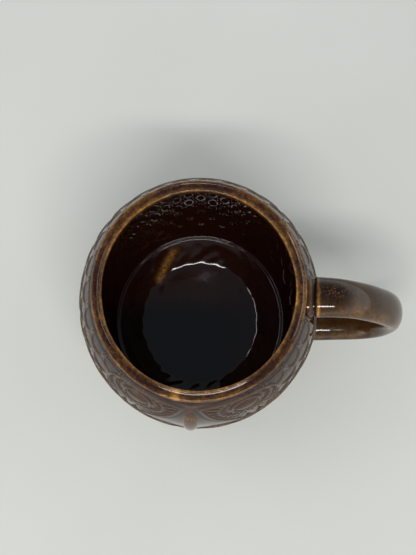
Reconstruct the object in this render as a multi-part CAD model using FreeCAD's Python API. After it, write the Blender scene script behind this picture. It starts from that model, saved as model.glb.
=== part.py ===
import FreeCAD, Part
import math
import os

from FreeCAD import Vector

# A slip-cast owl mug. Millimetres. The origin is the middle of the foot on the table and +Z is up.
# The owl faces -Y, and the strap handle stands out along +X.

# Body: driving dimensions
HEIGHT = 90.0
RIM_RADIUS = 40.0
BELLY_RADIUS = 47.0
BELLY_HEIGHT = 58.0
NECK_RADIUS = 40.4
NECK_HEIGHT = 86.5
FOOT_RADIUS = 36.0
SHOULDER_POWER = 2.2
SKIRT_POWER = 2.6
OVAL = 1.038                # front-to-back size over side-to-side size
WALL = 3.9
LIP_WIDTH = 4.1
BEAD_RADIUS = 0.7           # the two rounded edges of the lip
BEAD_SHOULDER = 1.3         # from an edge of the lip to the bottom of its groove
LIP_GROOVE = 0.3
FLOOR_HEIGHT = 6.2
FLOOR_FLAT = 22.0           # radius of the flat middle of the floor
FLOOR_BEND = 26.0           # radius where its rise has become straight
FLOOR_SLOPE = 22.0          # degrees
FLOOR_RADIUS = 35.0         # where the rise meets the corner with the wall
FLOOR_CURVE_TOP = 13.0
OUTLINE_STEPS = 9

# Unglazed foot ring
FOOT_HEIGHT = 3.0
FOOT_WIDTH = 4.6
FOOT_EDGE = 0.7

# Raised feathers: rows of U-shaped tiles, each row half a tile round from the next
RELIEF = 1.0
RELIEF_TOP = 84.5
TILES_ROUND = 27
ROW_COUNT = 12
ROW_PITCH = 6.6
FIRST_TIP = 4.4
GROOVE = 0.5

# Face: two leaf-shaped discs that nearly meet above the beak
DISC_OFFSET = 22.5          # along the wall from the middle of the face to the middle of an eye
DISC_OUTLINE = [            # of the right disc, from the middle of its eye and from the table
    (-20.0, 82.6),
    (-12.8, 70.4),
    (0.0, 61.6),
    (11.2, 65.0),
    (15.5, 73.5),
    (13.2, 80.4),
    (7.0, 83.7),
    (-6.5, 84.0),
]
DISC_EDGE = 1.4
BARB_COUNT = 28
BARB_FILL = 0.6             # share of each barb's pitch that stands up
EYE_HEIGHT = 77.3
EYE_HALF_WIDTH = 5.0
EYE_HALF_HEIGHT = 3.3
EYE_BULGE = 1.5
EYE_RING = 1.2
FACE_TOP = 84.2
FACE_BOTTOM = 58.0
FACE_RADIUS = 46.0          # turns lengths along the wall into angles round it
BEAK_SECTIONS = [           # height, half width, how far it stands off the wall
    (80.5, 1.0, 0.7),
    (76.0, 2.0, 1.6),
    (69.0, 2.9, 2.5),
    (61.0, 3.0, 2.9),
    (54.0, 2.1, 2.5),
    (49.5, 0.4, 1.1),
]

# Handle
HANDLE_TURN = 2.2           # degrees, the handle is luted on slightly off square
HANDLE_LINE = [             # middle of the strap, distance from the axis and height
    (38.0, 80.2),
    (54.0, 79.4),
    (68.4, 66.5),
    (77.4, 47.5),
    (72.4, 25.0),
    (56.0, 18.6),
    (39.5, 17.4),
]
ROOT_DIRECTIONS = [(1.0, 0.0), (-1.0, -0.1)]
STRAP_WIDTHS = [15.0, 14.2, 16.8]       # at the upper root, half-way and at the lower root
STRAP_THICKNESS = 8.6
STRAP_ROUNDING = 2.1        # power of the rounded section: 2 is an ellipse
ROOT_SPREAD = 0.75          # extra half width at the upper root
ROOT_FADE = 7.0             # how quickly that dies away along the strap
STRAP_STATIONS = 15
SECTION_POINTS = 16
JOINT_LENGTH = 2.4          # how far the wiped slip runs out along the strap
JOINT_FLARE = 1.5
JOINT_LIP = 0.35

AXIS = Vector(0, 0, 1)
CENTRE = Vector(0, 0, 0)
FRONT = -1.2 * BELLY_RADIUS             # outlines are drawn on a flat sheet this far in front
BIG = 200.0                 # longer than the whole mug
DIAGONAL = math.sqrt(0.5)


def coat_radius(z):
    """Radius over the feathers at height z, side to side."""
    if z > BELLY_HEIGHT:
        rise = (z - BELLY_HEIGHT) / (NECK_HEIGHT - BELLY_HEIGHT)
        return NECK_RADIUS + (BELLY_RADIUS - NECK_RADIUS) * (1 - rise ** SHOULDER_POWER)
    drop = (BELLY_HEIGHT - z) / BELLY_HEIGHT
    return FOOT_RADIUS + (BELLY_RADIUS - FOOT_RADIUS) * (1 - drop ** SKIRT_POWER)


def wall_radius(z):
    """Radius of the smooth wall that the feathers stand on."""
    return coat_radius(z) - RELIEF


def inner_radius(z):
    return wall_radius(z) - WALL


def wall_lean(z):
    """How far the wall leans in at height z, in degrees."""
    step = 1.0
    return math.degrees(math.atan2(wall_radius(z - step) - wall_radius(z + step), 2 * step))


def curve_between(radius, low, high):
    """A smooth outline edge of radius(z) from height low to height high."""
    heights = [low + (high - low) * i / OUTLINE_STEPS for i in range(OUTLINE_STEPS + 1)]
    curve = Part.BSplineCurve()
    curve.interpolate([Vector(radius(z), 0, z) for z in heights])
    return curve.toShape()


def line(a, b):
    return Part.LineSegment(Vector(a[0], 0, a[1]), Vector(b[0], 0, b[1])).toShape()


def arc(a, b, c):
    return Part.Arc(Vector(a[0], 0, a[1]), Vector(b[0], 0, b[1]), Vector(c[0], 0, c[1])).toShape()


def turned(edges):
    """The solid that an outline in the XZ plane makes, turned about the axis."""
    return Part.Face(Part.Wire(edges)).revolve(CENTRE, AXIS, 360)


def oval(shape):
    """Stretches the round body front to back."""
    stretch = FreeCAD.Matrix()
    stretch.scale(1, OVAL, 1)
    return shape.transformGeometry(stretch)


def spun(shape, degrees):
    copy = shape.copy()
    copy.rotate(CENTRE, AXIS, degrees)
    return copy


def save(name, solids):
    """Writes one node, made of one solid or a group of them."""
    shape = solids[0] if len(solids) == 1 else Part.makeCompound(solids)
    shape.exportStep(os.path.join("parts", name + ".step"))


def lip_edges():
    """The lip from its outer edge to its inner edge: a bead, a shallow groove and a bead."""
    bead_height = HEIGHT - BEAD_RADIUS
    outer = RIM_RADIUS
    inner = RIM_RADIUS - LIP_WIDTH
    dip = HEIGHT - LIP_GROOVE
    diagonal = BEAD_RADIUS * DIAGONAL
    return [
        arc(
            (outer, bead_height),
            (outer - BEAD_RADIUS + diagonal, bead_height + diagonal),
            (outer - BEAD_RADIUS, HEIGHT),
        ),
        line((outer - BEAD_RADIUS, HEIGHT), (outer - BEAD_SHOULDER, dip)),
        line((outer - BEAD_SHOULDER, dip), (inner + BEAD_SHOULDER, dip)),
        line((inner + BEAD_SHOULDER, dip), (inner + BEAD_RADIUS, HEIGHT)),
        arc(
            (inner + BEAD_RADIUS, HEIGHT),
            (inner + BEAD_RADIUS - diagonal, bead_height + diagonal),
            (inner, bead_height),
        ),
    ]


def wall_to_lip(inner_side):
    """The straight band between the end of the feathers and the lip."""
    bead_height = HEIGHT - BEAD_RADIUS
    if inner_side:
        return line((RIM_RADIUS - LIP_WIDTH, bead_height), (inner_radius(RELIEF_TOP), RELIEF_TOP))
    return line((wall_radius(RELIEF_TOP), RELIEF_TOP), (RIM_RADIUS, bead_height))


def floor_edges():
    """The inside of the bottom, from the wall inwards: a tight corner, a slope and a flat middle."""
    slope = math.radians(FLOOR_SLOPE)
    bend_height = FLOOR_HEIGHT + (FLOOR_BEND - FLOOR_FLAT) * math.tan(slope / 2)
    foot_height = bend_height + (FLOOR_RADIUS - FLOOR_BEND) * math.tan(slope)
    bend_radius = (FLOOR_BEND - FLOOR_FLAT) / math.sin(slope)
    bend_middle = (
        FLOOR_FLAT + bend_radius * math.sin(slope / 2),
        FLOOR_HEIGHT + bend_radius * (1 - math.cos(slope / 2)),
    )
    wall_foot = inner_radius(FLOOR_CURVE_TOP)
    corner_middle = (
        FLOOR_RADIUS + (wall_foot - FLOOR_RADIUS) * DIAGONAL,
        FLOOR_CURVE_TOP - (FLOOR_CURVE_TOP - foot_height) * DIAGONAL,
    )
    return [
        arc((wall_foot, FLOOR_CURVE_TOP), corner_middle, (FLOOR_RADIUS, foot_height)),
        line((FLOOR_RADIUS, foot_height), (FLOOR_BEND, bend_height)),
        arc((FLOOR_BEND, bend_height), bend_middle, (FLOOR_FLAT, FLOOR_HEIGHT)),
        line((FLOOR_FLAT, FLOOR_HEIGHT), (0, FLOOR_HEIGHT)),
    ]


def make_vessel():
    """The cast body: wall, lip, floor and flat underside, open at the top."""
    edges = [
        line((0, FOOT_HEIGHT), (wall_radius(FOOT_HEIGHT), FOOT_HEIGHT)),
        curve_between(wall_radius, FOOT_HEIGHT, RELIEF_TOP),
        wall_to_lip(False),
        *lip_edges(),
        wall_to_lip(True),
        curve_between(inner_radius, RELIEF_TOP, FLOOR_CURVE_TOP),
        *floor_edges(),
        line((0, FLOOR_HEIGHT), (0, FOOT_HEIGHT)),
    ]
    return turned(edges)


def make_core():
    """The body's outside as one full solid, for trimming what stands on it.

    It is turned half round, so that its seam is away from the handle.
    """
    edges = [
        line((0, FOOT_HEIGHT), (wall_radius(FOOT_HEIGHT), FOOT_HEIGHT)),
        curve_between(wall_radius, FOOT_HEIGHT, RELIEF_TOP),
        wall_to_lip(False),
        line((RIM_RADIUS, HEIGHT - BEAD_RADIUS), (0, HEIGHT - BEAD_RADIUS)),
        line((0, HEIGHT - BEAD_RADIUS), (0, FOOT_HEIGHT)),
    ]
    return spun(turned(edges), 180)


def make_layer(thickness, low, high):
    """The space just outside the wall that raised decoration of this thickness fills."""
    def outside(z):
        return wall_radius(z) + thickness

    edges = [
        curve_between(wall_radius, low, high),
        line((wall_radius(high), high), (outside(high), high)),
        curve_between(outside, high, low),
        line((outside(low), low), (wall_radius(low), low)),
    ]
    return turned(edges)


def make_foot_ring():
    """The ring the mug stands on, trimmed round and left without glaze."""
    outer = FOOT_RADIUS
    inner = FOOT_RADIUS - FOOT_WIDTH
    edges = [
        line((inner, FOOT_HEIGHT), (inner + FOOT_EDGE, 0)),
        line((inner + FOOT_EDGE, 0), (outer - FOOT_EDGE, 0)),
        arc(
            (outer - FOOT_EDGE, 0),
            (outer - FOOT_EDGE * (1 - DIAGONAL), FOOT_EDGE * (1 - DIAGONAL)),
            (outer, FOOT_EDGE),
        ),
        line((outer, FOOT_EDGE), (outer, FOOT_HEIGHT)),
        line((outer, FOOT_HEIGHT), (inner, FOOT_HEIGHT)),
    ]
    return turned(edges)


def stamp(outline, layer):
    """Cuts an outline, drawn in front of the mug, out of a layer of the wall."""
    block = outline.extrude(Vector(0, BIG, 0))
    front = Part.makeBox(BIG, BIG, BIG, Vector(-BIG / 2, -BIG, -BIG / 2))
    return block.common(front).common(layer)


def feather_outline(tip, half_width):
    """A tile with a round lower tip and two hollows above, where the tiles of the next row lie."""
    shoulder = tip + half_width
    upper = shoulder + ROW_PITCH
    side = half_width - GROOVE / 2
    hollow = half_width + GROOVE / 2
    top_of_side = upper - math.sqrt(hollow ** 2 - (GROOVE / 2) ** 2)
    peak = upper - math.sqrt(hollow ** 2 - half_width ** 2)
    reach = hollow * DIAGONAL
    points = {
        "left": Vector(-side, FRONT, shoulder),
        "tip": Vector(0, FRONT, tip + GROOVE / 2),
        "right": Vector(side, FRONT, shoulder),
        "right_top": Vector(side, FRONT, top_of_side),
        "right_hollow": Vector(half_width - reach, FRONT, upper - reach),
        "peak": Vector(0, FRONT, peak),
        "left_hollow": Vector(reach - half_width, FRONT, upper - reach),
        "left_top": Vector(-side, FRONT, top_of_side),
    }
    edges = [
        Part.Arc(points["left"], points["tip"], points["right"]).toShape(),
        Part.LineSegment(points["right"], points["right_top"]).toShape(),
        Part.Arc(points["right_top"], points["right_hollow"], points["peak"]).toShape(),
        Part.Arc(points["peak"], points["left_hollow"], points["left_top"]).toShape(),
        Part.LineSegment(points["left_top"], points["left"]).toShape(),
    ]
    return Part.Face(Part.Wire(edges))


def in_face(degrees, z):
    """Whether a place on the wall, by its angle from the middle of the face, belongs to the face."""
    along = abs(math.radians(degrees)) * FACE_RADIUS
    margin = GROOVE + ROW_PITCH / 2
    disc_side = DISC_OFFSET + max(x for x, _ in DISC_OUTLINE)
    disc_bottom = min(z for _, z in DISC_OUTLINE)
    half_height = FACE_TOP - disc_bottom
    across = max(along - DISC_OFFSET, 0) / (disc_side - DISC_OFFSET + margin)
    down = max(FACE_TOP - z, 0) / (half_height + margin)
    on_disc = across ** 4 + down ** 4 < 1
    between_discs = along < DISC_OFFSET and z > FACE_BOTTOM
    behind_beak = along < ROW_PITCH and z > BEAK_SECTIONS[-1][0]
    return on_disc or between_discs or behind_beak


def under_joint(degrees, tip, half_width):
    """Whether a root of the handle covers any of a feather, given its angle from the middle of the face."""
    across = math.radians(abs(degrees - 90 - HANDLE_TURN)) * RIM_RADIUS
    beside = across < max(STRAP_WIDTHS) / 2 + ROOT_SPREAD + JOINT_FLARE + half_width
    reach = STRAP_THICKNESS / 2 + JOINT_FLARE
    roots = [HANDLE_LINE[0][1], HANDLE_LINE[-1][1]]
    level = any(tip < root + reach and tip + ROW_PITCH + half_width > root - reach for root in roots)
    return beside and level


def feather_row(index, layer):
    """One ring of feathers, without those that the face or a handle joint takes the place of."""
    tip = FIRST_TIP + index * ROW_PITCH
    middle = tip + ROW_PITCH
    pitch = 360 / TILES_ROUND
    half_width = math.pi * coat_radius(min(middle, RELIEF_TOP)) / TILES_ROUND
    tile = stamp(feather_outline(tip, half_width), layer)
    tiles = []
    for number in range(TILES_ROUND):
        degrees = (number + 0.5 * (index % 2)) * pitch
        from_face = (degrees + 180) % 360 - 180
        if in_face(from_face, middle) or under_joint(from_face, tip, half_width):
            continue
        tiles.append(oval(spun(tile, degrees)))
    return tiles


def eye_outline(half_width, half_height):
    """An upright ellipse at the height of the eyes, in front of the mug."""
    centre = Vector(0, FRONT, EYE_HEIGHT)
    side = centre + Vector(half_width, 0, 0)
    top = centre + Vector(0, 0, half_height)
    return Part.Face(Part.Wire(Part.Ellipse(side, top, centre).toShape()))


def leaf_outline(side, inset):
    """The outline of a facial disc, drawn in by an inset: a smooth curve with one point, above the beak."""
    points = [Vector(side * x, FRONT, z) for x, z in DISC_OUTLINE]
    curve = Part.BSplineCurve()
    curve.interpolate(points + points[:1])
    face = Part.Face(Part.Wire(curve.toShape()))
    return face.makeOffset2D(-inset) if inset else face


def barb_outline(number):
    """One spoke from the eye outwards, wider at its outer end."""
    pitch = 2 * math.pi / BARB_COUNT
    corners = [Vector(0, FRONT, EYE_HEIGHT)]
    for edge in (-BARB_FILL / 2, BARB_FILL / 2):
        angle = (number + edge) * pitch
        corners.append(Vector(BIG * math.cos(angle), FRONT, EYE_HEIGHT + BIG * math.sin(angle)))
    return Part.Face(Part.makePolygon(corners + corners[:1]))


def make_disc(side, layer):
    """The barbs round one eye, with their raised outer edge. side is -1 for left, 1 for right."""
    turn = side * math.degrees(DISC_OFFSET / FACE_RADIUS)
    rim = leaf_outline(side, 0).cut(leaf_outline(side, DISC_EDGE))
    field = leaf_outline(side, DISC_EDGE + GROOVE)
    margin = EYE_RING + GROOVE
    field = field.cut(eye_outline(EYE_HALF_WIDTH + margin, EYE_HALF_HEIGHT + margin))
    outlines = [rim]
    for number in range(BARB_COUNT):
        outlines.extend(barb_outline(number).common(field).Faces)
    pieces = [stamp(outline, layer) for outline in outlines]
    return [oval(spun(piece, turn)) for piece in pieces]


def make_eye_ring(side, layer):
    turn = side * math.degrees(DISC_OFFSET / FACE_RADIUS)
    outer = eye_outline(EYE_HALF_WIDTH + EYE_RING, EYE_HALF_HEIGHT + EYE_RING)
    ring = outer.cut(eye_outline(EYE_HALF_WIDTH, EYE_HALF_HEIGHT))
    return oval(spun(stamp(ring, layer), turn))


def make_eye(side, core):
    """A domed eye: the part of a squashed ball that stands off the wall."""
    turn = side * math.degrees(DISC_OFFSET / FACE_RADIUS)
    ball = Part.makeSphere(1.0)
    shape = FreeCAD.Matrix()
    shape.scale(EYE_HALF_WIDTH - GROOVE / 2, EYE_BULGE, EYE_HALF_HEIGHT - GROOVE / 2)
    ball = ball.transformGeometry(shape)
    ball.rotate(CENTRE, Vector(1, 0, 0), -wall_lean(EYE_HEIGHT))
    ball.translate(Vector(0, -wall_radius(EYE_HEIGHT), EYE_HEIGHT))
    return oval(spun(ball.cut(core), turn))


def make_beak(core):
    """A narrow ridge down the middle of the face that ends in a point below the widest part."""
    sections = []
    for z, half_width, stand in BEAK_SECTIONS:
        centre = Vector(0, -wall_radius(z), z)
        if half_width > stand:
            ring = Part.Ellipse(centre + Vector(half_width, 0, 0), centre + Vector(0, stand, 0), centre)
        else:
            ring = Part.Ellipse(centre + Vector(0, -stand, 0), centre + Vector(half_width, 0, 0), centre)
        sections.append(Part.Wire(ring.toShape()))
    return oval(Part.makeLoft(sections, True, False).cut(core))


def strap_curve():
    """The middle line of the handle, from the upper root to the lower."""
    first, last = [Vector(x, 0, z) for x, z in ROOT_DIRECTIONS]
    curve = Part.BSplineCurve()
    curve.interpolate(
        [Vector(x, 0, z) for x, z in HANDLE_LINE],
        InitialTangent=first,
        FinalTangent=last,
    )
    return curve


def strap_half_width(share, distance):
    """Half the strap's width at a share of its length, which is a distance from the upper root."""
    top, middle, bottom = STRAP_WIDTHS
    width = top + (bottom - top) * share - (2 * (top + bottom) - 4 * middle) * share * (1 - share)
    return width / 2 + ROOT_SPREAD * math.exp(-distance / ROOT_FADE)


def strap_section(curve, share, grow):
    """A rounded section across the strap, at a share of its length."""
    distance = share * curve.length()
    at = curve.parameterAtDistance(distance, curve.FirstParameter)
    middle = curve.value(at)
    along = curve.tangent(at)[0]
    outward = along.cross(Vector(0, 1, 0))
    half_width = strap_half_width(share, distance) + grow
    half_thickness = STRAP_THICKNESS / 2 + grow
    points = []
    for i in range(SECTION_POINTS):
        angle = 2 * math.pi * i / SECTION_POINTS
        c = math.cos(angle)
        s = math.sin(angle)
        size = (abs(c) ** STRAP_ROUNDING + abs(s) ** STRAP_ROUNDING) ** (-1 / STRAP_ROUNDING)
        points.append(middle + Vector(0, half_width * c * size, 0) + outward * (half_thickness * s * size))
    ring = Part.BSplineCurve()
    ring.interpolate(points, PeriodicFlag=True)
    return Part.Wire(ring.toShape())


def make_strap():
    """The whole strap, still running into the body at both roots."""
    curve = strap_curve()
    shares = [i / (STRAP_STATIONS - 1) for i in range(STRAP_STATIONS)]
    strap = Part.makeLoft([strap_section(curve, share, 0) for share in shares], True, False)
    return spun(strap, HANDLE_TURN)


def make_joint(upper, strap, core):
    """The wiped slip that holds one root of the handle: it flares out towards the wall."""
    curve = strap_curve()
    length = curve.length()
    start_x, start_z = HANDLE_LINE[0] if upper else HANDLE_LINE[-1]
    root = wall_radius(start_z) - start_x
    steps = [(0.0, JOINT_FLARE), (root, JOINT_FLARE), (root + JOINT_LENGTH, JOINT_LIP)]
    sections = []
    for distance, grow in steps:
        share = distance / length
        sections.append(strap_section(curve, share if upper else 1 - share, grow))
    collar = spun(Part.makeLoft(sections, True, True), HANDLE_TURN)
    return collar.cut(core).cut(strap)


def main():
    os.makedirs("parts", exist_ok=True)
    round_core = make_core()
    core = oval(round_core)
    layer = make_layer(RELIEF, FIRST_TIP, RELIEF_TOP)
    strap = make_strap()
    upper_joint = make_joint(True, strap, core)
    lower_joint = make_joint(False, strap, core)
    save("vessel", [oval(make_vessel())])
    save("foot_ring", [make_foot_ring()])
    save("handle", [strap.cut(core)])
    save("upper_handle_joint", [upper_joint])
    save("lower_handle_joint", [lower_joint])
    save("beak", [make_beak(round_core)])
    for name, side in (("left", -1), ("right", 1)):
        save(name + "_eye", [make_eye(side, round_core)])
        save(name + "_eye_ring", [make_eye_ring(side, layer)])
        save(name + "_face_disc", make_disc(side, layer))
    for index in range(ROW_COUNT):
        save(f"feather_row_{index + 1:02d}", feather_row(index, layer))


main()
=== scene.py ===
import math

import bpy
import numpy as np
from mathutils import Matrix, Vector


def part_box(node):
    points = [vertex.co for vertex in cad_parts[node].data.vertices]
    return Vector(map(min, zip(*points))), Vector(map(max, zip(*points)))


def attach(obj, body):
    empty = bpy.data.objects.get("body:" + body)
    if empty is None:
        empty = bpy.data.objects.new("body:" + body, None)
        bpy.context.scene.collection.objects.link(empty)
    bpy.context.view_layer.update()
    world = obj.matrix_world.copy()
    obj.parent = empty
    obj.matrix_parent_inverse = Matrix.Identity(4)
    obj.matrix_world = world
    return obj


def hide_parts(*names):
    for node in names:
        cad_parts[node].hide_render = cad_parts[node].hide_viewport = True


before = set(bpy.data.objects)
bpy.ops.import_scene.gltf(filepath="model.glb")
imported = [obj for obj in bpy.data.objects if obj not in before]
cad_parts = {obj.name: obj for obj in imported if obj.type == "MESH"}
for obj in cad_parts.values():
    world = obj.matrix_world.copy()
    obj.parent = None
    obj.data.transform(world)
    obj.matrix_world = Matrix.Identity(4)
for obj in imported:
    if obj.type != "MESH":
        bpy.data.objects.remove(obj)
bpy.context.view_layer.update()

# A glazed owl mug, seen from nearly straight above. Shapes are worked out in millimetres and made in metres.
MM = 0.001

# Sizes read from the CAD frame
WALL_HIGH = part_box("vessel")[1]
FOOT_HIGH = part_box("foot_ring")[1]
COAT_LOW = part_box("feather_row_09")[0]
HEIGHT = WALL_HIGH.z / MM
WALL_BELLY = WALL_HIGH.x / MM                     # the smooth wall at its widest
BELLY_RADIUS = -COAT_LOW.x / MM                   # over the feathers, at their widest row
RELIEF = BELLY_RADIUS - WALL_BELLY
OVAL = WALL_HIGH.y / WALL_HIGH.x                  # front-to-back size over side-to-side size
FOOT_HEIGHT = FOOT_HIGH.z / MM
FOOT_RADIUS = FOOT_HIGH.x / MM
FOOT_WIDTH = 4.6

# The body's outline, as in the CAD model
BELLY_HEIGHT = 58.0
NECK_HEIGHT = 86.5
NECK_RADIUS = 40.4
RIM_RADIUS = 40.0
LIP_WIDTH = 4.1
WALL = 3.9
SHOULDER_POWER = 2.2
SKIRT_POWER = 2.6
FLOOR_HEIGHT = 6.2
FLOOR_CURVE_TOP = 13.0      # the corner with the floor ends here, at the foot of the wall
RELIEF_TOP = 84.5

# The floor inside the cup, which rises a little more steeply than in the CAD model
FLOOR_FLAT = 22.8           # radius of its flat middle
FLOOR_BEND = 26.2           # radius where its rise has become straight
FLOOR_SLOPE = math.radians(27)
FLOOR_RADIUS = 34.4         # where the rise eases off into a narrow shelf
FLOOR_SHELF = 1.1           # width of that shelf, before the corner with the wall

# How far the glazed inside strays from its plain outline
DIMPLE_DEPTH = 0.55         # behind the feathers
WALL_WAVE = 0.14
FLOOR_RIPPLE = 0.09
FLOOR_ROUGHNESS = 0.05
BEND_WAVE = 0.13
FRONT_FLATTENING = 0.5      # the share of its rise that the floor loses at the front

# Feathers
TILES_ROUND = 27
ROW_COUNT = 12
ROW_PITCH = 6.6
FIRST_TIP = 4.4

# Face: leaf-shaped discs round the eyes that nearly meet above the beak
DISC_OFFSET = 22.5
DISC_OUTLINE = [            # of the right disc, from the middle of its eye and from the table
    (-20.0, 82.6),
    (-12.8, 70.4),
    (0.0, 61.6),
    (11.2, 65.0),
    (15.5, 73.5),
    (13.2, 80.4),
    (7.0, 83.7),
    (-6.5, 84.0),
]
EYE_HEIGHT = 77.3
EYE_HALF_WIDTH = 5.0
EYE_HALF_HEIGHT = 3.3
FACE_RADIUS = 46.0
FACE_BOTTOM = 60.0
BARB_COUNT = 28

# Owners of a place on the wall, besides the feather rows, which are 0 to ROW_COUNT - 1
BARE_WALL = -1
LEFT_DISC = 100
RIGHT_DISC = 101
FLANKS = 102


# ---------------------------------------------------------------- shape of the wall

def coat_radius(z):
    """Radius over the feathers at height z, side to side."""
    z = np.asarray(z, float)
    rise = np.clip((z - BELLY_HEIGHT) / (NECK_HEIGHT - BELLY_HEIGHT), 0, 1)
    drop = np.clip((BELLY_HEIGHT - z) / BELLY_HEIGHT, 0, 1)
    upper = NECK_RADIUS + (BELLY_RADIUS - NECK_RADIUS) * (1 - rise ** SHOULDER_POWER)
    lower = FOOT_RADIUS + (BELLY_RADIUS - FOOT_RADIUS) * (1 - drop ** SKIRT_POWER)
    return np.where(z > BELLY_HEIGHT, upper, lower)


def wall_radius(z):
    return coat_radius(z) - RELIEF


def smooth_step(x):
    x = np.clip(x, 0, 1)
    return x * x * (3 - 2 * x)


def bell(x, width):
    return np.exp(-(x / width) ** 2)


def wander(*terms):
    """A gentle, repeatable unevenness between about -1 and 1, from the sines of the given angles."""
    return sum(np.sin(term) for term in terms) / len(terms)


def tile_chance(row, number):
    """A repeatable pseudo-random number from 0 to 1 for each feather."""
    return np.modf(np.abs(np.sin(row * 12.9898 + number * 78.233) * 43758.5453))[0]


# A feather's relief, as shares of RELIEF, and where its ridge runs in from its border
FEATHER_LEVEL = 0.40
FEATHER_DROP = 0.30         # towards its hidden root
RIDGE_RISE = 0.56
RIDGE_INSET = 0.66
RIDGE_WIDTH = 0.46
QUILL_RISE = 0.13
QUILL_WIDTH = 0.38
GAP_DEPTH = 0.16            # of the line just outside a feather


def feather_relief(angle, z, edge):
    """Height of the feathers as a share of the relief, and the row that owns each place.

    Each feather has a round tip with a raised edge, a hollow middle and a fine quill, and lies over the
    feathers of the row below. edge is how softly its border falls, in millimetres.
    """
    pitch = 2 * math.pi / TILES_ROUND
    lowest_row = np.floor((z - FIRST_TIP) / ROW_PITCH)
    half = math.pi * coat_radius(z) / TILES_ROUND
    height = np.zeros_like(angle)
    owner = np.full(angle.shape, BARE_WALL)
    for below in (1, 0):
        row = lowest_row - below
        turns = angle / pitch - 0.5 * (row % 2)
        number = np.floor(turns + 0.5)
        across = (turns - number) * 2 * half
        above = z - (FIRST_TIP + row * ROW_PITCH)
        round_part = half - np.hypot(across, above - half)
        inside = np.where(above < half, round_part, half - np.abs(across))
        along = np.clip(above / (ROW_PITCH + half), 0, 1)
        chance = tile_chance(row, number % TILES_ROUND)
        body = FEATHER_LEVEL + 0.08 * chance - FEATHER_DROP * along
        ridge = RIDGE_RISE * bell(inside - RIDGE_INSET, RIDGE_WIDTH)
        quill = QUILL_RISE * bell(across, QUILL_WIDTH) * smooth_step((inside - 1.6) / 1.2)
        shape = body + ridge + quill
        there = smooth_step(inside / edge + 0.5) * ((row >= 0) & (row < ROW_COUNT))
        gap = GAP_DEPTH * bell(inside + 0.45, 0.4) * (row >= 0)
        height = height * (1 - there) + shape * there - gap * (1 - there)
        owner = np.where(there > 0.5, row.astype(int), owner)
    fade = smooth_step((RELIEF_TOP - z) / 1.4)
    return np.clip(height, 0, 1) * fade, owner


def leaf_points(steps):
    """Points along the closed curve of the right disc's outline, with a corner at its first point."""
    corners = np.array(DISC_OUTLINE)
    before = np.roll(corners, 1, 0)
    after = np.roll(corners, -1, 0)
    beyond = np.roll(corners, -2, 0)
    before[0] = corners[0]
    beyond[-1] = corners[0]
    u = np.linspace(0, 1, steps, endpoint=False)[:, None]
    parts = []
    for a, b, c, d in zip(before, corners, after, beyond):
        start = (c - a) / 2
        end = (d - b) / 2
        hump = (2 * u ** 3 - 3 * u ** 2 + 1) * b + (3 * u ** 2 - 2 * u ** 3) * c
        parts.append(hump + (u ** 3 - 2 * u ** 2 + u) * start + (u ** 3 - u ** 2) * end)
    return np.concatenate(parts)


def leaf_depth(side, z):
    """How far inside the right disc's outline each place is, and its share of the way out from the eye."""
    outline = leaf_points(14)
    place = np.stack([side, z], -1)
    nearest = np.full(side.shape, 99.0)
    for point in outline:
        nearest = np.minimum(nearest, np.hypot(*(place - point).transpose(2, 0, 1)))
    spoke = np.arctan2(outline[:, 1] - EYE_HEIGHT, outline[:, 0])
    order = np.argsort(spoke)
    reach = np.hypot(outline[:, 0], outline[:, 1] - EYE_HEIGHT)
    turn = np.arctan2(z - EYE_HEIGHT, side)
    edge = np.interp(turn, spoke[order], reach[order], period=2 * math.pi)
    share = np.hypot(side, z - EYE_HEIGHT) / edge
    return np.where(share < 1, nearest, -nearest), share


def disc_relief(side, up, depth, share_out):
    """A disc's barbs: long ones that sweep from the eye to its raised edge, over a ring of short ones."""
    eye = np.hypot(side / EYE_HALF_WIDTH, up / EYE_HALF_HEIGHT)
    spoke = np.arctan2(up / EYE_HALF_HEIGHT, side / EYE_HALF_WIDTH)
    swept = spoke * BARB_COUNT + 1.1 * np.sin(3 * spoke) + 2.4 * share_out
    inner_sweep = spoke * (BARB_COUNT - 6) - 2.0 * eye
    outer_tier = smooth_step((eye - 2.3) / 0.25) * smooth_step((depth - 1.5) / 0.5)
    inner_tier = smooth_step((eye - 1.6) / 0.2) * smooth_step((2.25 - eye) / 0.2)
    inner_tier = inner_tier * smooth_step((depth - 1.2) / 0.4)
    barbs = outer_tier * (0.5 + 0.5 * np.cos(swept)) ** 0.8
    barbs = barbs + inner_tier * (0.5 + 0.5 * np.cos(inner_sweep)) ** 0.8
    tier_edge = 0.30 * bell((eye - 2.28) * EYE_HALF_HEIGHT, 0.5) * smooth_step((depth - 1.0) / 0.5)
    disc_edge = 0.60 * bell(depth - 0.8, 0.6)
    eye_edge = 0.60 * bell((eye - 1.22) * EYE_HALF_HEIGHT, 0.6)
    return 0.26 + 0.46 * barbs + tier_edge + disc_edge + eye_edge


def flank_relief(along, z, depth):
    """The smooth field under the discs and behind the beak, down to a blunt point.

    Returns its height and how far inside it each place is.
    """
    low_edge = FACE_BOTTOM - 9.0 * np.clip(1 - np.abs(along) / 9.0, 0, 1)
    in_field = np.minimum.reduce([
        DISC_OFFSET - 1.5 - np.abs(along),
        z - low_edge,
        RELIEF_TOP - z + 0.5,
    ])
    hollow = 0.20 * bell(depth + 0.8, 0.7)
    low_rim = 0.15 * bell(in_field - 0.6, 0.6) * (z < FACE_BOTTOM + 4)
    return 0.52 + 0.30 * bell(along, 3.6) - hollow + low_rim, in_field


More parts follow.
